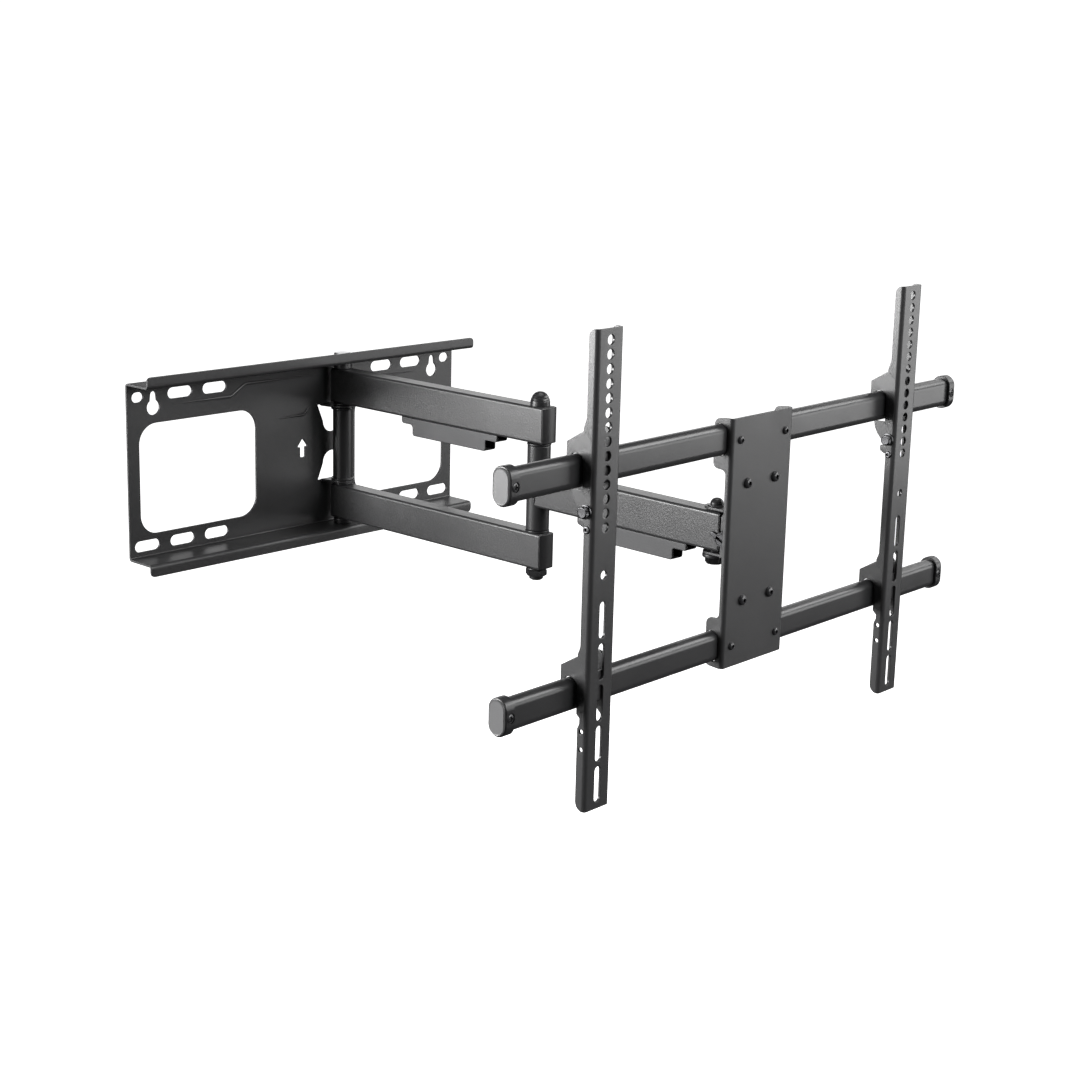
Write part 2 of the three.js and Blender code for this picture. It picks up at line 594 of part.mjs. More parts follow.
for (const [hand, x] of Object.entries(BRACKET_X)) {
  const bracket = new THREE.Group();
  bracket.position.x = x;
  frame.add(bracket);
  add(bracket, `${hand}_bracket`, screenBracket(), blackPaint);
  add(bracket, `${hand}_upper_hook`, hookPlate(RAIL.level, 55, -5, 22), blackPaint);
  add(bracket, `${hand}_lower_hook`, hookPlate(-RAIL.level, 25, 7.8, 16.4), blackPaint);
  add(bracket, `${hand}_lock_plate`, lockPlate(RAIL.level), blackPaint);
  add(bracket, `${hand}_lock_screw`, lockScrew(RAIL.level), brightSteel);
  add(bracket, `${hand}_pull_tab`, pullTab(RAIL.level), blackPlastic);
  add(bracket, `${hand}_rivet`, rivet(RAIL.level), brightSteel);
}

export default mount;
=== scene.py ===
"""The looks of a full motion television wall mount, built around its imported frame.

Each shape is drawn in millimetres, in the frame of the part it belongs to, and placed in metres.
"""
import json
import math

import bmesh
import bpy
from mathutils import Matrix, Vector
from mathutils.geometry import tessellate_polygon


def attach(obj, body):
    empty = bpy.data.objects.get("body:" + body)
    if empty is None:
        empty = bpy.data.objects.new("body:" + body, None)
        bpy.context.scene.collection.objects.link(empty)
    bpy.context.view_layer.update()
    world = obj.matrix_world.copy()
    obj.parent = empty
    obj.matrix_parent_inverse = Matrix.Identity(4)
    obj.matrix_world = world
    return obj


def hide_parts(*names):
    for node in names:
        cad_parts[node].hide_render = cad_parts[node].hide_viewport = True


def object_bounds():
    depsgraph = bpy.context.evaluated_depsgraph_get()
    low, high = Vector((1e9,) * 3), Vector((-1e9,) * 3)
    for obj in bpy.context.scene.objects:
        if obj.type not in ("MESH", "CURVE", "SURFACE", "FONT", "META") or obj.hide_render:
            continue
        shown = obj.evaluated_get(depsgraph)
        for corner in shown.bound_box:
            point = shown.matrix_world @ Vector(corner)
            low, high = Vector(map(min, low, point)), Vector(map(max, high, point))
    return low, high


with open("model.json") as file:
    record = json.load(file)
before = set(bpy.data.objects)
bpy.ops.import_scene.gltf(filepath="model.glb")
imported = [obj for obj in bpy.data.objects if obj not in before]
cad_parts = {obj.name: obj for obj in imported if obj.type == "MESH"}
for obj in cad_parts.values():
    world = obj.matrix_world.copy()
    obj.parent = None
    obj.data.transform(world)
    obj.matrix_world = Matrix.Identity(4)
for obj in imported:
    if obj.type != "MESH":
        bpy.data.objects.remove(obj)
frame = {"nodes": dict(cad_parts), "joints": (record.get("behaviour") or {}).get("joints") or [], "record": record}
cad_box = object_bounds()

# ---- Driving dimensions, in millimetres -----------------------------------------------------
MM = 0.001
SHEET = 2.5  # thickness of the pressed steel
FOLD = 2.75  # radius of a fold at the middle of the sheet
EDGE = 0.4  # rounding of a cut edge
GAP = 0.3  # clearance kept between pieces that touch
SCREW_HOLE = 3.2  # radius of the holes for the screws of the screen frame

PLATE = {"width": 475, "height": 193, "depth": 39.6, "lip": 10.5}
WINDOW = {"low": -70.2, "high": 50.2, "corner": 22, "outer": 222.6, "left": 65.4, "right": 81.3}
WALL_SLOT = {"length": 32.2, "height": 12, "row": 80, "low_row": -82.3}
SLOT_COLUMNS = [-168.5, -122, 122, 168.5]
OUTER_COLUMN = 215  # two more slots in the low row
END_HOLE = {"x": 223.7, "width": 14.5, "height": 11}
ARROW = [(-1.4, -14), (5.4, -14), (5.4, -2), (9.8, -2), (2, 8), (-5.8, -2), (-1.4, -2)]
KEYHOLE = {"x": 203.5, "head": 8.25, "low": 59, "high": 84.5}
TAB = {"root": 39, "mouth": 42.4, "tip": 13, "bend": 42.5, "clear": 31.5}
POST_RADIUS = 11.4

ARM = {"width": 22, "height": 39, "wall": 2, "corner": 3}
ARM_LEVEL = 67.3
FIRST_LENGTH = 309
SECOND_LENGTH = 243
WALL_END = 9.2
ELBOW_END = 12.8
HEAD_END = 11.8
COVER = {"half": 8.3, "wall": 1.5, "top": 148, "bottom": 113, "step": 7.5, "height": 19.6}
FIRST_COVER_AT = 181
SECOND_COVER_AT = 139

HEAD_TO_FACE = 50
TILT_BACK = 25
TILT_LEVEL = -2
CENTRE = {"half": 49, "top": 121, "flange": 6.5, "ear": 21, "ear_top": 119.5, "ear_low": 72.5}
RAIL = {"height": 30, "depth": 15, "wall": 1.5, "level": 100, "back": 14, "left": -351, "right": 357.5}
CAP = {"height": 35, "depth": 21.3, "length": 12.5, "screw": 7.5}
BRACKET = {"half": 17.5, "front": -9, "flange": 1, "top": 224, "bottom": -205.5}
HOLE = {"count": 14, "pitch": 12.5, "first": 214, "radius": 4.5}
FACE_SLOT = {"count": 5, "pitch": 37.8, "first": -31.2, "length": 33.3, "width": 8}
LARGE_SCREWS = [(-22, 57), (22, 57), (-22, -57), (22, -57)]
SMALL_SCREWS = [(-36, 100), (36, 100), (-36, -100), (36, -100)]

# ---- The frames that shapes are drawn in ----------------------------------------------------
RECORD = frame["record"]
JOINTS = {joint["name"]: joint for joint in frame["joints"]}
BODY_OF = {node: body for body, nodes in RECORD["behaviour"]["bodies"].items() for node in nodes}
SLOT_OF = {part["node"]: part["material_slot"] for part in RECORD["subparts"]}


def pivot(joint):
    return Vector(JOINTS[joint]["pos_m"])


def facing(origin, towards):
    """A level frame at origin whose -y axis points towards another place."""
    reach = towards - origin
    turn = math.atan2(reach.x, -reach.y)
    return Matrix.Translation(origin) @ Matrix.Rotation(turn, 4, "Z")


WALL = Matrix.Identity(4)
POST = Matrix.Translation(pivot("wall_pivot"))
FIRST = facing(pivot("wall_pivot"), pivot("elbow"))
ELBOW = facing(pivot("elbow"), pivot("head_swivel"))
HEAD = facing(pivot("head_swivel"), pivot("tilt"))
FACE = HEAD @ Matrix.Translation((0, -HEAD_TO_FACE * MM, 0))


def bracket_frame(hand):
    """The screen frame moved to the middle of one bracket, found from its lock screw."""
    lock = FACE.inverted() @ pivot(hand + "_lock_turn")
    return FACE @ Matrix.Translation((lock.x + BRACKET["half"] * MM, 0, 0))


# A flat sheet is drawn in x and y with its front towards z. These turn it up into its place.
FRONTAL = Matrix(((1, 0, 0, 0), (0, 0, -1, 0), (0, 1, 0, 0), (0, 0, 0, 1)))
SIDEWAYS = Matrix(((0, 0, 1, 0), (1, 0, 0, 0), (0, 1, 0, 0), (0, 0, 0, 1)))


# ---- Outlines -------------------------------------------------------------------------------
def arc(cx, cy, radius, start, end, steps=8):
    """Points on an arc, with its angles in degrees."""
    angles = [math.radians(start + (end - start) * k / steps) for k in range(steps + 1)]
    return [(cx + radius * math.cos(a), cy + radius * math.sin(a)) for a in angles]


def circle(cx, cy, radius, steps=32):
    return arc(cx, cy, radius, 0, 360, steps)[:-1]


def stadium(cx, cy, width, height, steps=10):
    """An outline with straight sides and half-round ends."""
    radius = min(width, height) / 2
    across = width / 2 - radius
    along = height / 2 - radius
    if width > height:
        return arc(cx + across, cy, radius, -90, 90, steps) + arc(cx - across, cy, radius, 90, 270, steps)
    return arc(cx, cy + along, radius, 0, 180, steps) + arc(cx, cy - along, radius, 180, 360, steps)


def rounded(points, radius, steps=5):
    """A polygon with its corners rounded. A point may give its own radius as a third number."""
    out = []
    for i, point in enumerate(points):
        corner = Vector(point[:2])
        before = Vector(points[i - 1][:2]) - corner
        after = Vector(points[(i + 1) % len(points)][:2]) - corner
        wanted = point[2] if len(point) > 2 else radius
        opening = before.angle(after)
        if wanted <= 0 or opening > math.pi - 0.02:
            out.append(tuple(corner))
            continue
        half = math.tan(opening / 2)
        reach = min(wanted / half, before.length * 0.49, after.length * 0.49)
        middle = (before.normalized() + after.normalized()).normalized()
        centre = corner + middle * math.hypot(reach, reach * half)
        start = corner + before.normalized() * reach - centre
        end = corner + after.normalized() * reach - centre
        first = math.atan2(start.y, start.x)
        sweep = (math.atan2(end.y, end.x) - first + math.pi) % (2 * math.pi) - math.pi
        for k in range(steps + 1):
            angle = first + sweep * k / steps
            out.append(tuple(centre + start.length * Vector((math.cos(angle), math.sin(angle)))))
    return out


def box_outline(x0, x1, y0, y1, radius, steps=5):
    return rounded([(x0, y0), (x1, y0), (x1, y1), (x0, y1)], radius, steps)


def along(points, width):
    """A narrow outline on both sides of a line."""
    left = []
    right = []
    for i, here in enumerate(points):
        way = Vector(points[min(i + 1, len(points) - 1)]) - Vector(points[max(i - 1, 0)])
        way = way.normalized() * width / 2
        left.append((here[0] - way.y, here[1] + way.x))
        right.append((here[0] + way.y, here[1] - way.x))
    return left + right[::-1]


def wound(loop, left_handed):
    """The loop, run anticlockwise or clockwise."""
    area = sum(a[0] * b[1] - b[0] * a[1] for a, b in zip(loop, loop[1:] + loop[:1]))
    return loop if (area > 0) == left_handed else loop[::-1]


def inset(loop, distance):
    """The loop moved to its own left."""
    out = []
    for i, here in enumerate(loop):
        before = (Vector(here) - Vector(loop[i - 1])).normalized()
        after = (Vector(loop[(i + 1) % len(loop)]) - Vector(here)).normalized()
        left = Vector((-before.y - after.y, before.x + after.x))
        out.append(tuple(Vector(here) + left * distance / max(0.2, 1 + before.dot(after))))
    return out


# ---- Solids ---------------------------------------------------------------------------------
def loft(rings, closed=False):
    """A skin over rings of points. A closed one joins the last ring to the first."""
    shape = bmesh.new()
    rows = [[shape.verts.new(point) for point in ring] for ring in rings]
    pairs = list(zip(rows, rows[1:]))
    if closed:
        pairs.append((rows[-1], rows[0]))
    for low, high in pairs:
        for i, vert in enumerate(low):
            j = (i + 1) % len(low)
            shape.faces.new((vert, low[j], high[j], high[i]))
    if not closed:
        shape.faces.new(rows[0][::-1])
        shape.faces.new(rows[-1])
    bmesh.ops.remove_doubles(shape, verts=shape.verts, dist=1e-4)
    bmesh.ops.dissolve_degenerate(shape, edges=shape.edges, dist=1e-5)
    bmesh.ops.recalc_face_normals(shape, faces=shape.faces)
    return shape


def lathe(profile, closed=False, steps=48):
    """Turns radius and height pairs about z. A radius may be a function of the angle."""
    angles = [2 * math.pi * k / steps for k in range(steps)]
    rings = []
    for radius, z in profile:
        radii = [radius(a) if callable(radius) else radius for a in angles]
        rings.append([(r * math.cos(a), r * math.sin(a), z) for r, a in zip(radii, angles)])
    return loft(rings, closed)


def six_sided(radius):
    """The radius of a hexagon, by angle, with its flats at this distance."""
    return lambda angle: radius / math.cos(angle % (math.pi / 3) - math.pi / 6)


def crossed(reach, half):
    """The radius of a cross recess, by angle."""
    def radius(angle):
        near = abs((angle + math.pi / 4) % (math.pi / 2) - math.pi / 4)
        return min(reach, half / max(math.sin(near), 1e-6)) if near < math.pi / 4 else half * 1.414
    return radius


def ring(outer, inner, low, high, edge=EDGE):
    """A round tube on z with its edges rounded."""
    profile = rounded([(outer, low), (outer, high), (inner, high), (inner, low)], edge, 3)
    return lathe(profile, closed=True)


def edge_profile(thickness, edge, steps=3):
    """Inset and height pairs that run down over the edge of a sheet."""
    quarter = [math.pi / 2 * k / steps for k in range(steps + 1)]
    upper = [(edge * (1 - math.sin(a)), thickness / 2 - edge * (1 - math.cos(a))) for a in quarter]
    return upper + [(inward, -height) for inward, height in reversed(upper)]


def sheet(outline, holes=(), thickness=SHEET, edge=EDGE, steps=3):
    """A flat sheet in x and y, its middle at z = 0, with holes and rounded edges."""
    shape = bmesh.new()
    fronts = []
    backs = []
    for number, loop in enumerate([outline, *holes]):
        path = wound(list(loop), number == 0)
        rows = []
        for inward, z in edge_profile(thickness, edge, steps):
            rows.append([shape.verts.new((x, y, z)) for x, y in inset(path, inward)])
        for high, low in zip(rows, rows[1:]):
            for i, vert in enumerate(high):
                j = (i + 1) % len(high)
                shape.faces.new((vert, low[i], low[j], high[j]))
        fronts.append(rows[0])
        backs.append(rows[-1])
    front = [vert for row in fronts for vert in row]
    back = [vert for row in backs for vert in row]
    for a, b, c in tessellate_polygon([[vert.co for vert in row] for row in fronts]):
        shape.faces.new((front[a], front[b], front[c]))
        shape.faces.new((back[c], back[b], back[a]))
    bmesh.ops.recalc_face_normals(shape, faces=shape.faces)
    return shape


def fold(shape, axis, at, degrees, side=1, radius=FOLD, steps=6):
    """Folds what lies beyond a line, towards +z for a positive angle."""
    angle = math.radians(abs(degrees))
    way = 1 if degrees > 0 else -1
    length = radius * angle
    normal = Vector([1.0 if k == axis else 0.0 for k in range(3)])
    for k in range(steps + 1):
        everything = shape.verts[:] + shape.edges[:] + shape.faces[:]
        bmesh.ops.bisect_plane(
            shape, geom=everything, plane_co=normal * side * (at + length * k / steps), plane_no=normal)
    for vert in shape.verts:
        past = side * vert.co[axis] - at
        if past <= 0:
            continue
        turn = min(past, length) / radius
        beyond = max(0.0, past - length)
        reach = radius - way * vert.co.z
        vert.co[axis] = side * (at + reach * math.sin(turn) + beyond * math.cos(turn))
        vert.co.z = way * (radius - reach * math.cos(turn) + beyond * math.sin(turn))
    return shape


def moved(shape, *steps):
    """The shape after some moves: matrices, or (x, y, z) shifts."""
    for step in steps:
        matrix = step if isinstance(step, Matrix) else Matrix.Translation(step)
        bmesh.ops.transform(shape, matrix=matrix, verts=shape.verts)
    return shape


def turned(degrees, axis):
    return Matrix.Rotation(math.radians(degrees), 4, axis)


def together(shape, *others):
    """One mesh of several shapes."""
    for other in others:
        mesh = bpy.data.meshes.new("part")
        other.to_mesh(mesh)
        shape.from_mesh(mesh)
        other.free()
        bpy.data.meshes.remove(mesh)
    return shape


def loose_object(shape):
    mesh = bpy.data.meshes.new("loose")
    shape.to_mesh(mesh)
    shape.free()
    thing = bpy.data.objects.new("loose", mesh)
    bpy.context.scene.collection.objects.link(thing)
    return thing


def cut(shape, *tools):
    """The shape with other closed shapes taken out of it."""
    body = loose_object(shape)
    cutters = [loose_object(tool) for tool in tools]
    for cutter in cutters:
        modifier = body.modifiers.new("cut", "BOOLEAN")
        modifier.object = cutter
        modifier.solver = "EXACT"
    done = bmesh.new()
    done.from_object(body, bpy.context.evaluated_depsgraph_get())
    for thing in [body, *cutters]:
        mesh = thing.data
        bpy.data.objects.remove(thing)
        bpy.data.meshes.remove(mesh)
    return done


def arm_tube(start, end, level):
    """The box tube of an arm, along y with round corners and open at both ends."""
    half = ARM["width"] / 2
    tall = ARM["height"] / 2
    wall = ARM["wall"]
    edge = 0.5
    outer = box_outline(-half, half, level - tall, level + tall, ARM["corner"])
    inner = box_outline(-half + wall, half - wall, level - tall + wall, level + tall - wall,
                        ARM["corner"] - wall)
    outer = wound(outer, True)
    inner = wound(inner, True)
    rings = []
    for loop, y, inward in [(outer, start, edge), (outer, start + edge, 0), (outer, end - edge, 0),
                            (outer, end, edge), (inner, end, 0), (inner, start, 0)]:
        rings.append([(x, y, z) for x, z in inset(loop, inward)])
    return loft(rings, closed=True)


# ---- Materials ------------------------------------------------------------------------------
def coat(name, color, roughness, metallic=0.0, grain=0.0, grain_size=0.8, mottle=0.0):
    """A painted or moulded surface: fine grain in its bump, and a slow mottle in its roughness."""
    material = bpy.data.materials.new(name)
    material.use_nodes = True
    nodes = material.node_tree.nodes
    links = material.node_tree.links
    shader = nodes["Principled BSDF"]
    shader.inputs["Metallic"].default_value = metallic
    place = nodes.new("ShaderNodeTexCoord")

    def noise(size, detail):
        node = nodes.new("ShaderNodeTexNoise")
        node.inputs["Scale"].default_value = 1 / (size * MM)
        node.inputs["Detail"].default_value = detail
        links.new(place.outputs["Object"], node.inputs["Vector"])
        return node

    def spread(source, low, high):
        node = nodes.new("ShaderNodeMapRange")
        node.inputs["From Min"].default_value = 0.3
        node.inputs["From Max"].default_value = 0.7
        node.inputs["To Min"].default_value = low
        node.inputs["To Max"].default_value = high
        links.new(source.outputs["Fac"], node.inputs["Value"])
        return node

    fine = noise(grain_size, 3)
    broad = noise(40, 2)
    tint = nodes.new("ShaderNodeMix")
    tint.data_type = "RGBA"
    tint.inputs["A"].default_value = (*[c * (1 - mottle) for c in color], 1)
    tint.inputs["B"].default_value = (*[c * (1 + mottle) for c in color], 1)
    links.new(fine.outputs["Fac"], tint.inputs["Factor"])
    links.new(tint.outputs["Result"], shader.inputs["Base Color"])
    rough = spread(broad, roughness * 0.93, roughness * 1.07)
    links.new(rough.outputs["Result"], shader.inputs["Roughness"])
    bump = nodes.new("ShaderNodeBump")
    bump.inputs["Strength"].default_value = grain
    bump.inputs["Distance"].default_value = grain_size * MM * 0.35
    links.new(fine.outputs["Fac"], bump.inputs["Height"])
    links.new(bump.outputs["Normal"], shader.inputs["Normal"])
    return material


POWDER = coat("powder_coat", (0.028, 0.028, 0.029), 0.38, grain=0.2, grain_size=0.9, mottle=0.2)
ARM_COAT = coat("arm_coat", (0.03, 0.03, 0.031), 0.33, grain=0.2, grain_size=1.8, mottle=0.5)
BRACKET_COAT = coat("bracket_coat", (0.034, 0.034, 0.035), 0.3, grain=0.08, grain_size=0.8, mottle=0.12)
RAIL_COAT = coat("rail_coat", (0.026, 0.026, 0.027), 0.30, grain=0.08, grain_size=0.7, mottle=0.1)
PLASTIC = coat("black_plastic", (0.016, 0.016, 0.017), 0.33, grain=0.10, grain_size=0.5, mottle=0.1)
# Face plates of the rail caps: a lighter grey than the cap band, partly their own tone and partly painted light,
# raised to stand for the light from the left lamps on these end faces.
CAP_END_PAINTED_LIGHT = coat("cap_end_painted_light", (0.125, 0.125, 0.127), 0.34, grain=0.12, grain_size=0.5, mottle=0.1)
COVER_PLASTIC = coat("cover_plastic", (0.035, 0.035, 0.037), 0.5, grain=0.15, grain_size=0.5, mottle=0.1)
ZINC = coat("zinc_steel", (0.42, 0.425, 0.43), 0.3, metallic=1.0, grain=0.05, grain_size=0.6, mottle=0.06)
DARK_ZINC = coat("dark_zinc", (0.06, 0.06, 0.062), 0.32, metallic=1.0, grain=0.05, grain_size=0.6, mottle=0.06)
BLACK_STEEL = coat("black_steel", (0.03, 0.03, 0.032), 0.28, grain=0.05, grain_size=0.6, mottle=0.1)
MATERIALS = {
    "black_powder_coat": POWDER,
    "rail_powder_coat": RAIL_COAT,
    "black_plastic": PLASTIC,
    "grey_plastic": COVER_PLASTIC,
    "zinc_steel": ZINC,
    "black_steel": BLACK_STEEL,
}
for node, thing in frame["nodes"].items():
    thing.data.materials.clear()
    thing.data.materials.append(MATERIALS[SLOT_OF[node]])


def piece(name, shape, place, body, slot, material=None, sharp=38):
    """Places a shape drawn in millimetres, and lets it ride on its body."""
    mesh = bpy.data.meshes.new(name)
    shape.to_mesh(mesh)
    shape.free()
    mesh.transform(place @ Matrix.Scale(MM, 4))
    mesh.shade_smooth()
    mesh.set_sharp_from_angle(angle=math.radians(sharp))
    mesh.materials.append(material or MATERIALS[slot])
    thing = bpy.data.objects.new(name, mesh)
    bpy.context.scene.collection.objects.link(thing)
    even = thing.modifiers.new("even_normals", "WEIGHTED_NORMAL")
    even.keep_sharp = True
    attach(thing, body)
    return thing


def made(node, shape, place, material=None, sharp=38):
    """The finished piece that stands for a CAD node."""
    thing = piece(node + "_made", shape, place, BODY_OF[node], SLOT_OF[node], material, sharp)
    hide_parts(node)
    return thing


# ---- Wall plate -----------------------------------------------------------------------------
def window(inner, outer):
    return box_outline(inner, outer, WINDOW["low"], WINDOW["high"], WINDOW["corner"], 12)


def keyhole(x):
    """A round head below a narrowing neck."""
    radius = KEYHOLE["head"]
    low = KEYHOLE["low"] + radius
    neck = 3.6
    return (arc(x, low, radius, 123, 417, 24)
            + arc(x, KEYHOLE["high"] - neck, neck, 10, 170, 10))


def ear_outline(x, root, start, tip_at, tip):
    """A tongue from a straight root to a round tip, drawn downwards in y."""
    return ([(x + root / 2, start)]
            + arc(x, tip_at, tip, 0, -180, 14)
            + [(x - root / 2, start)])


def wall_plate():
    middle = SHEET / 2
    ledge = PLATE["height"] / 2 - middle - FOLD
    quarter = FOLD * math.pi / 2
    ledge_run = PLATE["depth"] - SHEET - 2 * FOLD
    lip_at = ledge + quarter + ledge_run
    end = lip_at + quarter + PLATE["lip"] + middle - FOLD
    half = PLATE["width"] / 2
    row = WALL_SLOT["row"]
    slots = [(x, row) for x in SLOT_COLUMNS]
    slots += [(x, WALL_SLOT["low_row"]) for x in [-OUTER_COLUMN, *SLOT_COLUMNS, OUTER_COLUMN]]
    holes = [stadium(x, z, WALL_SLOT["length"], WALL_SLOT["height"]) for x, z in slots]
    holes += [stadium(side * END_HOLE["x"], row, END_HOLE["width"], END_HOLE["height"])
              for side in (-1, 1)]
    holes += [keyhole(-KEYHOLE["x"]), keyhole(KEYHOLE["x"])]
    holes.append(window(-WINDOW["outer"], -WINDOW["left"]))
    holes.append(window(WINDOW["right"], WINDOW["outer"]))
    post = pivot("wall_pivot").x / MM
    for side in (1, -1):
        mouth = ear_outline(post, TAB["mouth"], TAB["bend"] + 1.5, TAB["bend"] - TAB["clear"] + TAB["tip"],
                            TAB["tip"])
        holes.append([(x, z * side) for x, z in mouth])
    holes.append(rounded(ARROW, 0.8, 3))
    plate = sheet(box_outline(-half, half, -end, end, 5), holes)
    for side in (1, -1):
        fold(plate, 1, lip_at, -90, side)
        fold(plate, 1, ledge, 90, side)
    moved(plate, FRONTAL, (0, -middle, 0))
    ears = [wall_ear(post, side) for side in (1, -1)]
    return together(plate, *ears, *beads())


def wall_ear(post, side):
    """One ear bent out of the plate to hold the post; side -1 is the lower one."""
    middle = SHEET / 2
    reach = -pivot("wall_pivot").y / MM - middle - FOLD + FOLD * math.pi / 2
    outline = ear_outline(0, TAB["root"] - 0.6, 6, -reach, TAB["tip"])
    ear = sheet(outline, [circle(0, -reach, 6.5)], thickness=SHEET - 0.2)
    fold(ear, 1, 0, 90, side=-1, steps=8)
    level = TAB["bend"] + middle + FOLD
    moved(ear, FRONTAL, (post, -middle, level))
    if side < 0:
        moved(ear, Matrix.Scale(-1, 4, (0, 0, 1)))
        bmesh.ops.reverse_faces(ear, faces=ear.faces)
    return ear


def bead(points, height=1.3, half=2.2):
    """A low pressed ridge along a line on the front of the plate."""
    section = [(-half, -0.3), (-half * 0.55, height * 0.75), (0, height), (half * 0.55, height * 0.75),
               (half, -0.3)]
    path = rounded([(*points[0], 0), *[(*p, 10) for p in points[1:-1]], (*points[-1], 0)], 0, 6)
    rings = []
    for i, here in enumerate(path):
        before = Vector(path[max(i - 1, 0)])
        after = Vector(path[min(i + 1, len(path) - 1)])
        way = (after - before).normalized()
        narrow = 0.2 if i in (0, len(path) - 1) else 1
        rings.append([(here[0] - way.y * a * narrow, -SHEET - b * narrow, here[1] + way.x * a * narrow)
                      for a, b in section])
    return loft(rings)


def beads():
    """The pressed lines that stiffen the plate around its middle."""
    upper = [(-177, 68), (-100, 67.6), (-80, 79.7), (21, 79.3)]
    lower = [(-35, 34.4), (5.6, 35.4), (13.2, 46.3)]
    mirrored = [(-x, z) for x, z in upper[:3]]
    return [bead(upper), bead(lower), bead(mirrored[::-1])]


made("wall_plate", wall_plate(), WALL)


# ---- Wall pivot -----------------------------------------------------------------------------
POST_BORE = 6.3  # radius of the hole in each piece that the bolt passes through


def hex_head(flats, low, high, washer=0.0):
    """A hexagon head with its corners chamfered, on a flange if it has one."""
    side = six_sided(flats)
    profile = [(0, low)]
    if washer:
        profile += [(washer, low), (washer + 0.2, low + 0.4), (washer, low + 1.4), (flats * 0.98, low + 1.9)]
    profile += [(side, low + (2.0 if washer else 0)), (side, high - 1.3), (flats * 0.97, high), (0, high)]
    return lathe(profile)


arm_top = ARM_LEVEL + ARM["height"] / 2
arm_under = ARM_LEVEL - ARM["height"] / 2
plate_top = PLATE["height"] / 2
bolt = together(hex_head(9.2, plate_top + GAP, plate_top + 8.5, washer=11.5),
                lathe([(0, -plate_top - 13), (5.4, -plate_top - 13), (6, -plate_top - 12), (6, plate_top + 1),
                       (0, plate_top + 1)]))
made("wall_pivot_bolt", bolt, POST, ZINC)
nut = moved(hex_head(9.5, GAP, 9.8, washer=10.8), turned(180, "X"), (0, 0, -plate_top))
made("wall_pivot_nut", nut, POST, ZINC)
post_half = TAB["bend"] - GAP
flange = POST_RADIUS + 2
half_post = [(flange, post_half, 0.6), (flange, post_half - 2.2, 0.8), (POST_RADIUS, post_half - 2.2, 0.5)]
lower_half = [(radius, -z, edge) for radius, z, edge in reversed(half_post)]
bore = [(POST_BORE, -post_half, 0.2), (POST_BORE, post_half, 0.2)]
spacer = lathe(rounded([*half_post, *lower_half, *bore], 0.5, 4), closed=True)
made("wall_pivot_spacer", spacer, POST, PLASTIC)
for node, low, high in [("upper_ledge_collar", arm_top + GAP, plate_top - SHEET - GAP),
                        ("lower_ledge_collar", -plate_top + SHEET + GAP, -arm_top - GAP)]:
    made(node, ring(10.5, POST_BORE, low, high, 0.8), POST)
for node, low, high in [("upper_tab_washer", TAB["bend"] + SHEET + GAP, arm_under - GAP),
                        ("lower_tab_washer", -arm_under + GAP, -TAB["bend"] - SHEET - GAP)]:
    made(node, ring(11, POST_BORE, low, high, 0.7), POST)


# ---- First arms -----------------------------------------------------------------------------
def end_plug(level, end):
    """The plug in the end of an arm: a face arched from side to side, and a body inside the tube."""
    half = ARM["width"] / 2 - 0.4
    tall = ARM["height"] / 2 - 0.5
    lower_edge = [(-tall, 1.0), (-tall + 0.3, 0.3), (-tall + 1.0, 0)]
    upper_edge = [(-rise, inward) for rise, inward in reversed(lower_edge)]
    rings = []
    for rise, inward in lower_edge + upper_edge:
        side = half - inward * 0.5
        arch = []
        for k in range(13):
            across = -1 + 2 * k / 12
            out = 0.7 + (1.75 - inward) * (1 - across * across)
            arch.append((side * across, end - out, level + rise))
        rings.append([*arch, (side, end - 0.3, level + rise), (-side, end - 0.3, level + rise)])
    inside = ARM["width"] / 2 - ARM["wall"] - GAP
    inside_tall = ARM["height"] / 2 - ARM["wall"] - GAP
    outline = box_outline(-inside, inside, level - inside_tall, level + inside_tall, 1)
    body = loft([[(x, y, z) for x, z in outline] for y in (end - 0.6, end + 4)])
    return together(loft(rings), body)


first_end = -FIRST_LENGTH - ELBOW_END
for hand, level in (("upper", ARM_LEVEL), ("lower", -ARM_LEVEL)):
    made(hand + "_arm", arm_tube(first_end, WALL_END, level), FIRST, ARM_COAT)
    made(hand + "_arm_plug", end_plug(level, first_end), FIRST)


def cable_cover(middle, top):
    """A stepped trough under an arm, open upwards and at its outer end."""
    half = COVER["half"]
    wall = COVER["wall"]
    near = -middle + COVER["top"] / 2
    far = -middle - COVER["top"] / 2
    near_low = -middle + COVER["bottom"] / 2
    far_low = -middle - COVER["bottom"] / 2
    step = top - COVER["step"]
    floor = top - COVER["height"]
    outline = rounded([(far, top, 0.4), (far, step, 3), (far_low, step, 2), (far_low, floor, 3),
                       (near_low, floor, 3), (near_low, step, 4), (near, step, 4), (near, top, 0.4)], 1)
    hollow = rounded([(far - 9, top + 5, 0), (far - 9, step + wall, 0), (far_low - 0.5, step + wall, 1),
                      (far_low - 0.5, floor + wall, 1), (near_low - wall, floor + wall, 2),
                      (near_low - wall, step + wall, 2), (near - wall, step + wall, 2),
                      (near - wall, top + 5, 0)], 1)
    outside = moved(sheet(outline, thickness=2 * half, edge=0.9, steps=4), SIDEWAYS)
    inside = moved(sheet(hollow, thickness=2 * (half - wall), edge=0.3), SIDEWAYS)
    return cut(outside, inside)


made("upper_cable_cover", cable_cover(FIRST_COVER_AT, arm_under - GAP), FIRST)
made("front_cable_cover", cable_cover(SECOND_COVER_AT, -ARM["height"] / 2 - GAP), ELBOW)


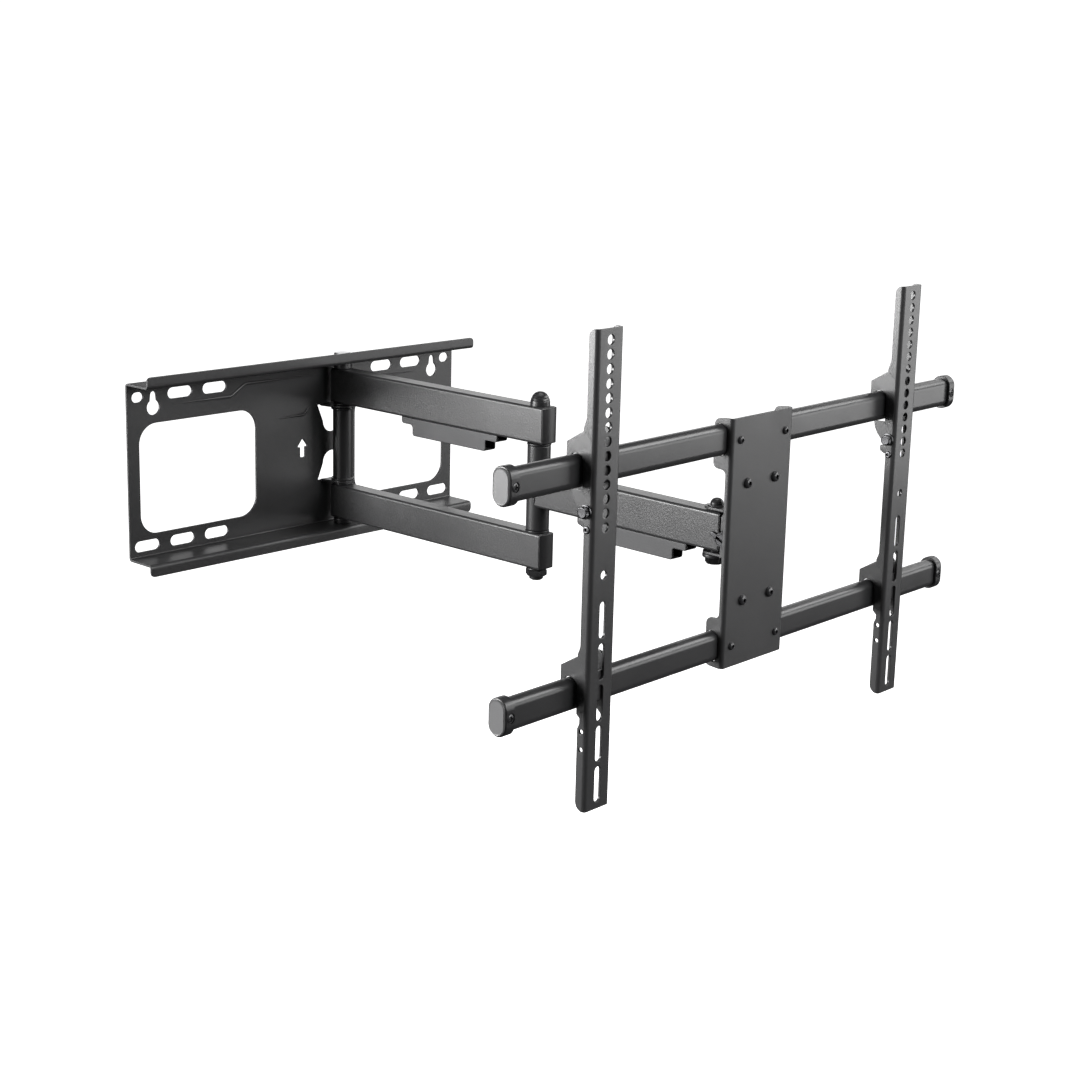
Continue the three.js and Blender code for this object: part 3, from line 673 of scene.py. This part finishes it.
# ---- Elbow ----------------------------------------------------------------------------------
def stepped_dome(radius, low, height):
    """A domed cap with grooves round it."""
    rise = [(0, 0), (1, 0), (1, 0.30), (0.975, 0.36), (0.93, 0.385), (0.955, 0.42), (0.90, 0.53),
            (0.86, 0.565), (0.815, 0.585), (0.84, 0.62), (0.76, 0.73), (0.70, 0.77), (0.655, 0.78),
            (0.66, 0.81), (0.50, 0.91), (0.28, 0.975), (0, 1)]
    return lathe([(radius * r, low + height * z) for r, z in rise])


pin = together(stepped_dome(10.4, arm_top + GAP, 14.7),
               lathe([(0, -arm_top - 10), (7, -arm_top - 10), (7, arm_top + 1), (0, arm_top + 1)]))
made("elbow_pin", pin, ELBOW, PLASTIC)
nut_low = -arm_top - GAP
elbow_nut = moved(hex_head(10.1, 0, 8.4, washer=10.6), turned(180, "X"), (0, 0, nut_low))
stub = lathe([(0, nut_low - 13), (5.4, nut_low - 13), (7.4, nut_low - 11.6), (7.6, nut_low - 8),
              (0, nut_low - 8)])
made("elbow_nut", together(elbow_nut, stub), ELBOW, PLASTIC)
sleeve_radius = POST_RADIUS + 0.9
pin_bore = 7.3  # radius
bush = 2.4
sleeve_half = arm_under - bush - GAP
made("elbow_sleeve", ring(sleeve_radius, pin_bore, -sleeve_half, sleeve_half, 0.9), ELBOW, RAIL_COAT)
made("elbow_upper_bush", ring(12.8, pin_bore, arm_under - bush, arm_under - GAP, 0.6), ELBOW)
made("elbow_lower_bush", ring(12.8, pin_bore, -arm_under + GAP, -arm_under + bush, 0.6), ELBOW)


# ---- Front arm ------------------------------------------------------------------------------
def weld(x, low, high, y, radius=1.5, pitch=2.2):
    """A run of weld up the side of the sleeve, with its ripples."""
    count = int((high - low) / (pitch / 4))
    profile = [(0, low)]
    for k in range(count + 1):
        z = low + (high - low) * k / count
        ends = min(1.0, 4 * min(z - low, high - z) / (high - low) + 0.35)
        profile.append((radius * ends * (0.82 + 0.18 * abs(math.sin(math.pi * (z - low) / pitch))), z))
    profile.append((0, high))
    return moved(lathe(profile, steps=12), (x, y, 0))


tube_half = ARM["height"] / 2
front_tube = cut(arm_tube(-SECOND_LENGTH - HEAD_END, 6, 0),
                 lathe([(0, -40), (sleeve_radius, -40), (sleeve_radius, 40), (0, 40)], steps=64),
                 loft([[(x, y, z) for x, z in box_outline(-20, 20, -40, 40, 0)] for y in (-1, 30)]))
welds = [weld(side * 10.7, -tube_half + 1, tube_half - 1, -5.0) for side in (-1, 1)]
made("front_arm", together(front_tube, *welds), ELBOW, ARM_COAT)
made("front_arm_plug", end_plug(0, -SECOND_LENGTH - HEAD_END), ELBOW)


# ---- Head -----------------------------------------------------------------------------------
JAW_GAP = 1.6  # between the arm and the jaw
JAW_BACK = 19.05  # from the pivot to the middle of the jaw's web
SWIVEL_BORE = 5.3  # radius
TILT_BORE = 4.2  # radius
EAR_ACROSS = 13.75  # middle of the jaw's ears, left and right of the pivot
CHEEK_ACROSS = 17.2  # middle of the tilt bracket's cheeks


def head_clevis():
    """One strip folded into a jaw over and under the arm, with two ears for the tilt bolt."""
    jaw = ARM["height"] / 2 + JAW_GAP + SHEET / 2
    straight = jaw - FOLD
    run = straight + FOLD * math.pi / 2 + JAW_BACK - FOLD
    tip = 12
    wide = 15
    right = [(tip, -straight - 5), (wide, -straight + 1), (wide, straight - 1), (tip, straight + 5)]
    left = [(-x, y) for x, y in reversed(right)]
    outline = arc(0, run, tip, 0, 180, 16) + left + arc(0, -run, tip, 180, 360, 16) + right
    strip = sheet(outline, [circle(0, side * run, SWIVEL_BORE) for side in (1, -1)])
    for side in (1, -1):
        fold(strip, 1, straight, -90, side)
    moved(strip, FRONTAL, (0, -JAW_BACK, 0))
    ears = []
    for x in (-EAR_ACROSS, EAR_ACROSS):
        ear = rounded([(-18.2, TILT_LEVEL - 13), (-24, TILT_LEVEL - 13), (-36, TILT_LEVEL - 8),
                       (-36, TILT_LEVEL + 8), (-24, TILT_LEVEL + 13), (-18.2, TILT_LEVEL + 13)], 6)
        ears.append(moved(sheet(ear, [circle(-TILT_BACK, TILT_LEVEL, TILT_BORE)]), SIDEWAYS, (x, 0, 0)))
    return together(strip, *ears)


made("head_clevis", head_clevis(), HEAD)
jaw_top = ARM["height"] / 2 + JAW_GAP + SHEET
swivel_shank = lathe([(0, -jaw_top - 9), (4.4, -jaw_top - 9), (5, -jaw_top - 8), (5, jaw_top + 2),
                      (0, jaw_top + 2)])
made("swivel_bolt", together(stepped_dome(6.5, jaw_top + 1.2, 6.4), swivel_shank), HEAD, PLASTIC)
swivel_nut = moved(hex_head(8.2, 4.1, 10.4), turned(180, "X"), (0, 0, -jaw_top))
made("swivel_nut", swivel_nut, HEAD, DARK_ZINC)
upper_washer = ring(9, 5.2, jaw_top + 0.05, jaw_top + 1.05, 0.3)
lower_washer = ring(12.3, 5.2, -jaw_top - 3.9, -jaw_top - 0.2, 0.9)
piece("upper_head_washer", upper_washer, HEAD, "head", "black_steel")
piece("lower_head_washer", lower_washer, HEAD, "head", "black_plastic")

ALONG_X = turned(90, "Y")
tilt_place = (0, -TILT_BACK, TILT_LEVEL)
tilt_bolt = together(lathe([(0, -24.5), (3.3, -24.5), (4, -23.6), (4, 20), (0, 20)]),
                     moved(hex_head(6.8, 0, 5.8, washer=7.6), (0, 0, 19.2)))
made("tilt_bolt", moved(tilt_bolt, ALONG_X, tilt_place), HEAD, DARK_ZINC)


def wing_nut():
    """A round hub with a rim, and two straight wings pressed from one strip."""
    hub = lathe([(4.3, 0), (6.2, 0), (6.2, 8.2), (5.9, 8.8), (5.2, 8.8), (4.9, 8.2), (4.9, 6.4), (4.3, 6.4)],
                closed=True)
    wings = sheet(rounded([(-13, -2.4), (13, -2.4), (13, 2.4), (-13, 2.4)], 2.2),
                  [circle(0, 0, 5.6)], thickness=4, edge=0.8)
    moved(wings, (0, 0, 6.2), turned(66, "Z"))
    return moved(together(hub, wings), turned(180, "X"), ALONG_X, (-19.2, -TILT_BACK, TILT_LEVEL))


made("tilt_wing_nut", wing_nut(), HEAD, DARK_ZINC)


def tilt_bracket():
    """The plate behind the centre plate, with two cheeks that hang on the tilt bolt."""
    back = SHEET + GAP
    holes = [circle(x, z, SCREW_HOLE, 20) for x, z in LARGE_SCREWS]
    base = moved(sheet(box_outline(-31, 31, -67, 67, 8), holes), FRONTAL, (0, back + SHEET / 2, 0))
    upper_slot = [(28.2, 20), (28.1, 15.5), (26.8, 12.6), (24.6, 11)]
    lower_slot = [(28, -10), (27.4, -14), (24.5, -17.5)]
    outline = rounded([(back + 1, -34), (24, -30.5), (31, -26), (31, 20), (24, 23.5), (back + 1, 27)], 6)
    cheeks = []
    for x in (-CHEEK_ACROSS, CHEEK_ACROSS):
        holes = [circle(TILT_BACK, TILT_LEVEL, TILT_BORE), along(upper_slot, 1.8), along(lower_slot, 1.6)]
        cheeks.append(moved(sheet(outline, holes, thickness=2.8), SIDEWAYS, (x, 0, 0)))
    return together(base, *cheeks)


made("tilt_bracket", tilt_bracket(), FACE)


# ---- Screen frame ---------------------------------------------------------------------------
def unfolded(depth):
    """How far past the start of the fold a point of this depth behind the face lies."""
    return depth - SHEET / 2 - FOLD + FOLD * math.pi / 2


def centre_plate():
    half = CENTRE["half"]
    start = half - SHEET / 2 - FOLD
    top = CENTRE["top"]
    ear, ear_top, ear_low = CENTRE["ear"], CENTRE["ear_top"], CENTRE["ear_low"]
    shallow = start + unfolded(CENTRE["flange"])
    deep = start + unfolded(ear)
    upper = [(start, top, 1.5), (shallow, top, 3), (deep, ear_top, 6), (deep, ear_low, 6),
             (shallow, ear_low - 1, 5)]
    right = upper + [(x, -z, r) for x, z, r in reversed(upper)]
    left = [(-x, z, r) for x, z, r in reversed(right)]
    screws = [circle(x, z, SCREW_HOLE, 20) for x, z in LARGE_SCREWS + SMALL_SCREWS]
    reach = RAIL["depth"] / 2 + 0.35
    notches = []
    for side in (1, -1):
        for level in (RAIL["level"], -RAIL["level"]):
            middle = side * (start + unfolded(RAIL["back"]))
            notches.append(stadium(middle, level, 2 * reach, RAIL["height"] + 0.7))
    plate = sheet(rounded(right + left, 2), screws + notches)
    for side in (1, -1):
        fold(plate, 0, start, -90, side)
    return moved(plate, FRONTAL, (0, SHEET / 2, 0))


made("centre_plate", centre_plate(), FACE)


def button_screw(radius, rise, socket, recess="hex"):
    """A low domed screw head, with a socket, that looks towards +z."""
    hollow = six_sided(socket * 0.9) if recess == "hex" else crossed(socket, socket * 0.3)
    rise_at = [(1, -0.05), (1, 0.12), (0.97, 0.35), (0.88, 0.62), (0.72, 0.86), (0.58, 0.96)]
    profile = [(0, -6), (radius * 0.5, -6), (radius * 0.5, -0.1)]
    profile += [(radius * r, rise * z) for r, z in rise_at]
    profile += [(hollow, rise), (hollow, rise - 2.4), (0, rise - 2.5)]
    return lathe(profile)


FORWARD = turned(90, "X")
for kind, places, radius, rise, socket in (("bracket", LARGE_SCREWS, 5.2, 3.6, 2.2),
                                           ("rail", SMALL_SCREWS, 3.9, 2.6, 1.8)):
    for number, (x, z) in enumerate(places, 1):
        head = moved(button_screw(radius, rise, socket), FORWARD, (x, -0.05, z))
        made(f"{kind}_screw_{number}", head, FACE)


def oval_rings(level, depth, height, stations):
    """Rings of an oval section along x, each as an x and an inset."""
    loop = wound(stadium(RAIL["back"], level, depth, height, 20), True)
    return [[(x, y, z) for y, z in inset(loop, inward)] for x, inward in stations]


def rail(level):
    left, right = RAIL["left"] + 3.3, RAIL["right"] - 3.3
    wall = RAIL["wall"]
    stations = [(left, 0.3), (left + 0.3, 0), (right - 0.3, 0), (right, 0.3), (right, wall), (left, wall)]
    return loft(oval_rings(level, RAIL["depth"], RAIL["height"], stations), closed=True)


def rail_cap(level, end, side):
    """A moulded cap on the end of a rail: a band, a groove, and an oval face plate."""
    steps = [(CAP["length"], 2.9), (CAP["length"], 0.5), (CAP["length"] - 0.5, 0), (2.6, 0), (2.0, 0.25),
             (1.65, 0.8), (1.6, 1.5), (0.7, 1.5), (0, 2.2), (0.1, 2.6), (0.3, 2.9)]
    stations = [(end - side * x, inward) for x, inward in steps]
    body = loft(oval_rings(level, CAP["depth"], CAP["height"], stations))
    front = RAIL["back"] - CAP["depth"] / 2
    sink = moved(lathe([(0, -1.2), (4.75, -1.2), (4.9, 5), (0, 5)]), FORWARD,
                 (end - side * CAP["screw"], front, level))
    return cut(body, sink)


for place, level in (("upper", RAIL["level"]), ("lower", -RAIL["level"])):
    made(place + "_rail", rail(level), FACE)
    for hand, end, side in (("left", RAIL["left"], -1), ("right", RAIL["right"], 1)):
        node = f"{place}_{hand}_cap"
        cap = made(node, rail_cap(level, end, side), FACE)
        # The end faces of each cap take the lighter grey, which is part own tone and part painted light.
        cap.data.materials.append(CAP_END_PAINTED_LIGHT)
        for face in cap.data.polygons:
            depth = (end - (FACE.inverted() @ face.center).x / MM) * side
            face.material_index = int(depth < 1.5)
        screw = moved(button_screw(4.1, 1.4, 2.7, "cross"), FORWARD,
                      (end - side * CAP["screw"], RAIL["back"] - CAP["depth"] / 2 + 1.15, level))
        made(node + "_screw", screw, FACE)


# ---- Screen brackets ------------------------------------------------------------------------
def screen_bracket():
    """A long channel: a slotted face, and two flanges cut back where the rails pass."""
    half, front, flange = BRACKET["half"], BRACKET["front"], BRACKET["flange"]
    top, bottom = BRACKET["top"], BRACKET["bottom"]
    start = half - SHEET / 2 - FOLD

    def out(y):
        return start + unfolded(y - front)

    cut_back = out(front + 4.2)
    left = [(out(flange + 1), bottom, 9), (out(flange + 1), -129, 2), (out(flange - 1.2), -124, 2),
            (out(flange - 1.2), -114, 3), (cut_back, -111, 2), (cut_back, -76, 6), (out(flange + 3), -62, 3),
            (out(flange), -54, 4), (out(flange), 83, 3), (cut_back, 86, 2), (cut_back, 128, 1),
            (out(-1), 133, 4), (out(flange + 3), 135.6, 2), (out(flange + 3), 139, 2), (out(flange), 148, 5),
            (out(flange), top, 7)]
    right = [(out(flange + 2), top, 5), (out(flange + 2), 122, 4), (cut_back, 118, 3), (cut_back, 58, 3),
             (out(flange + 1), 55, 3), (out(flange + 1), -60, 3), (cut_back, -63, 3), (cut_back, -124, 3),
             (out(flange), -127, 3), (out(flange), bottom, 4)]
    outline = [(-x, z, r) for x, z, r in left] + right
    holes = [circle(0, HOLE["first"] - k * HOLE["pitch"], HOLE["radius"]) for k in range(HOLE["count"])]
    holes += [stadium(0, FACE_SLOT["first"] - k * FACE_SLOT["pitch"], FACE_SLOT["width"], FACE_SLOT["length"])
              for k in range(FACE_SLOT["count"])]
    holes.append(circle(0, 9.3, 4))
    holes += [circle(-out(-2.6), z, 2.2, 20) for z in (-131, -147.7)]
    channel = sheet(rounded(outline, 2), holes)
    for side in (1, -1):
        fold(channel, 0, start, -90, side)
    return moved(channel, FRONTAL, (0, front + SHEET / 2, 0))


def hook(level, foot):
    """The hook that drops over a rail: a plate inside each flange, and a web behind the face."""
    front = BRACKET["front"] + SHEET + GAP
    near = RAIL["back"] - RAIL["depth"] / 2 - 0.6
    far = RAIL["back"] + RAIL["depth"] / 2 + 0.6
    radius = RAIL["depth"] / 2 + 0.6
    crown = level + RAIL["height"] / 2 - RAIL["depth"] / 2
    outline = [(front, level - foot), (0.4, level - foot), (0.4, level - 22), (near, level - 17)]
    outline += arc(RAIL["back"], crown, radius, 180, 0, 14)
    outline += [(far, level - 2), (25, level - 2), (25, level + 24.3), (5, level + 36.5), (2.5, level + 36),
                (-1.5, level + 32), (-4.5, level + 28), (front, level + 24.5)]
    across = BRACKET["half"] - SHEET * 1.5 - GAP
    plates = [moved(sheet(outline, edge=0.5), SIDEWAYS, (side * across, 0, 0)) for side in (-1, 1)]
    web = sheet(box_outline(-across, across, level - 5, level + 22, 1), thickness=2)
    return together(*plates, moved(web, FRONTAL, (0, front + 1, 0)))


def lock_plate(level):
    outline = rounded([(-5.5, level - 42, 1), (4, level - 42, 2), (11, level - 35), (16, level - 29.5),
                       (19.5, level - 23), (20.5, level - 16.5, 1), (-5.5, level - 16.5, 1)], 5)
    return moved(sheet(outline, [circle(-1.5, level - 33.2, 3.3, 20)], thickness=2), SIDEWAYS,
                 (-BRACKET["half"] + SHEET * 2 + 1.9, 0, 0))


def lock_screw(level):
    """The thumb screw of the safety lock, with a knurled head and a dark washer."""
    knurls = 24
    teeth = lambda angle: 5.5 - 0.22 * (1 + math.cos(knurls * angle))
    head = lathe([(0, 0.3), (6.2, 0.3), (6.3, 0.6), (6.2, 1.9), (4.6, 2.1), (4.6, 2.6), (teeth, 3.0),
                  (teeth, 5.6), (4.7, 6.5), (4.3, 6.6), (4.0, 6.3), (0, 6.2)], steps=96)
    shank = lathe([(0, -14), (2.6, -14), (3, -13.5), (3, 1), (0, 1)])
    return moved(together(head, shank), turned(-90, "Y"), (-BRACKET["half"], -1.5, level - 33.2))


def pull_tab(level):
    """A ribbed plastic tab that frees the lock."""
    steps = 7
    upper = [(-2, level - 42.3), (2.4, level - 42.3), (11.2, level - 41.4), (11.6, level - 44.5)]
    ribs = []
    for k in range(steps):
        y = 10.5 - 10.5 * k / (steps - 1)
        z = level - 46.2 - 3.4 * math.sin(math.pi * (k + 1) / (steps + 1))
        ribs += [(y, z), (y - 0.7, z + 0.8)]
    tab = sheet(upper + ribs + [(-2, level - 46)], thickness=4.4, edge=0.4)
    return moved(tab, SIDEWAYS, (-BRACKET["half"] + 2 * SHEET + 0.9 + 2, 0, 0))


def rivet(level):
    """A hollow rivet with a rolled rim."""
    head = lathe([(1.1, -5.3), (2.1, -5.3), (2.1, 0.1), (3.5, 0.1), (3.6, 0.5), (3.2, 1.2), (2.2, 1.5),
                  (1.4, 1.2), (1.1, 0.6)], closed=True)
    return moved(head, turned(-90, "Y"), (-BRACKET["half"], -2.4, level - 49))


for hand in ("left", "right"):
    place = bracket_frame(hand)
    level = RAIL["level"]
    made(hand + "_bracket", screen_bracket(), place, BRACKET_COAT)
    made(hand + "_upper_hook", hook(level, 55), place, BRACKET_COAT)
    made(hand + "_lower_hook", hook(-level, 25), place, BRACKET_COAT)
    made(hand + "_lock_plate", lock_plate(level), place, BRACKET_COAT)
    made(hand + "_lock_screw", lock_screw(level), place, DARK_ZINC, sharp=30)
    made(hand + "_pull_tab", pull_tab(level), place)
    made(hand + "_rivet", rivet(level), place, DARK_ZINC)


# ---- Studio ---------------------------------------------------------------------------------
WORLD_SEEN = 1.05
WORLD_FILL = 0.05
FLOOR_BELOW = 0.9  # metres from the lowest point of the mount down to the floor


def glow(name, around, up, width, height, radiance, middle=(0.25, -0.35, 0), distance=3.0):
    """A rectangular soft light that faces the mount from a direction in degrees."""
    around, up = math.radians(around), math.radians(up)
    direction = Vector((math.cos(around) * math.cos(up), math.sin(around) * math.cos(up), math.sin(up)))
    light = bpy.data.lights.new(name, "AREA")
    light.shape = "RECTANGLE"
    light.size = width
    light.size_y = height
    light.energy = radiance * math.pi * width * height
    lamp = bpy.data.objects.new(name, light)
    lamp.location = Vector(middle) + direction * distance
    lamp.rotation_euler = (-direction).to_track_quat("-Z", "Y").to_euler()
    bpy.context.scene.collection.objects.link(lamp)


def white_world():
    """White where the camera sees it, and a faint fill where it lights the mount."""
    world = bpy.data.worlds.new("studio")
    bpy.context.scene.world = world
    world.use_nodes = True
    nodes = world.node_tree.nodes
    links = world.node_tree.links
    nodes.clear()
    out = nodes.new("ShaderNodeOutputWorld")
    ray = nodes.new("ShaderNodeLightPath")
    mix = nodes.new("ShaderNodeMixShader")
    links.new(ray.outputs["Is Camera Ray"], mix.inputs["Fac"])
    for number, strength in ((1, WORLD_FILL), (2, WORLD_SEEN)):
        white = nodes.new("ShaderNodeBackground")
        white.inputs["Color"].default_value = (1, 1, 1, 1)
        white.inputs["Strength"].default_value = strength
        links.new(white.outputs["Background"], mix.inputs[number])
    links.new(mix.outputs["Shader"], out.inputs["Surface"])


def pale_floor():
    """A plain white floor below the mount, which doesn't light the mount or show in its gloss."""
    floor = bpy.data.objects.new("floor", bpy.data.meshes.new("floor"))
    slab = bmesh.new()
    bmesh.ops.create_circle(slab, cap_ends=True, radius=30, segments=64)
    slab.to_mesh(floor.data)
    slab.free()
    floor.location = (0, 0, cad_box[0][2] - FLOOR_BELOW)
    pale = bpy.data.materials.new("pale_floor")
    pale.use_nodes = True
    shader = pale.node_tree.nodes["Principled BSDF"]
    shader.inputs["Base Color"].default_value = (0.9, 0.9, 0.9, 1)
    shader.inputs["Roughness"].default_value = 0.9
    shader.inputs["Emission Color"].default_value = (1, 1, 1, 1)
    shader.inputs["Emission Strength"].default_value = 1.2
    floor.data.materials.append(pale)
    bpy.context.scene.collection.objects.link(floor)
    floor.visible_diffuse = False
    floor.visible_glossy = False


def lights():
    glow("left_panel", 142, 5, 0.52, 1.3, 18)
    glow("front_left_panel", 152, 8, 0.52, 1.3, 34)
    glow("left_edge_panel", 162, 8, 0.52, 1.3, 16)
    glow("low_left_panel", 148, -22, 1.6, 0.8, 0.8)
    glow("side_left_panel", 178, 5, 0.8, 1.4, 2.0)
    glow("right_panel", -40, 30, 1.7, 1.1, 7.0)
    glow("low_right_panel", -40, 0, 1.7, 1.1, 3.6)
    glow("front_panel", -80, 20, 1.7, 1.4, 9.4)
    glow("side_panel", 0, 20, 1.6, 1.4, 2.5)
    glow("back_panel", 43, 17, 2.2, 1.2, 1.6)
    glow("top_panel", 0, 85, 2.0, 2.0, 2.5)


def camera():
    """The place the mount is looked at from, and how the view is turned."""
    place = Vector((-1.4807, -1.76669, 0.46149))
    yaw, pitch, roll = (math.radians(a) for a in (43.14, 13.90, 1.38))
    ahead = Vector((math.cos(yaw) * math.cos(pitch), math.sin(yaw) * math.cos(pitch), -math.sin(pitch)))
    level = Vector((math.sin(yaw), -math.cos(yaw), 0))
    above = level.cross(ahead)
    right = level * math.cos(roll) + above * math.sin(roll)
    upward = above * math.cos(roll) - level * math.sin(roll)
    data = bpy.data.cameras.new("camera")
    data.sensor_width = 36
    data.lens = 68.09
    data.clip_end = 100
    seer = bpy.data.objects.new("camera", data)
    turn = Matrix((right, upward, -ahead)).transposed().to_4x4()
    seer.matrix_world = Matrix.Translation(place) @ turn
    bpy.context.scene.collection.objects.link(seer)
    bpy.context.scene.camera = seer


white_world()
pale_floor()
lights()
camera()
bpy.context.scene.view_settings.view_transform = "Standard"
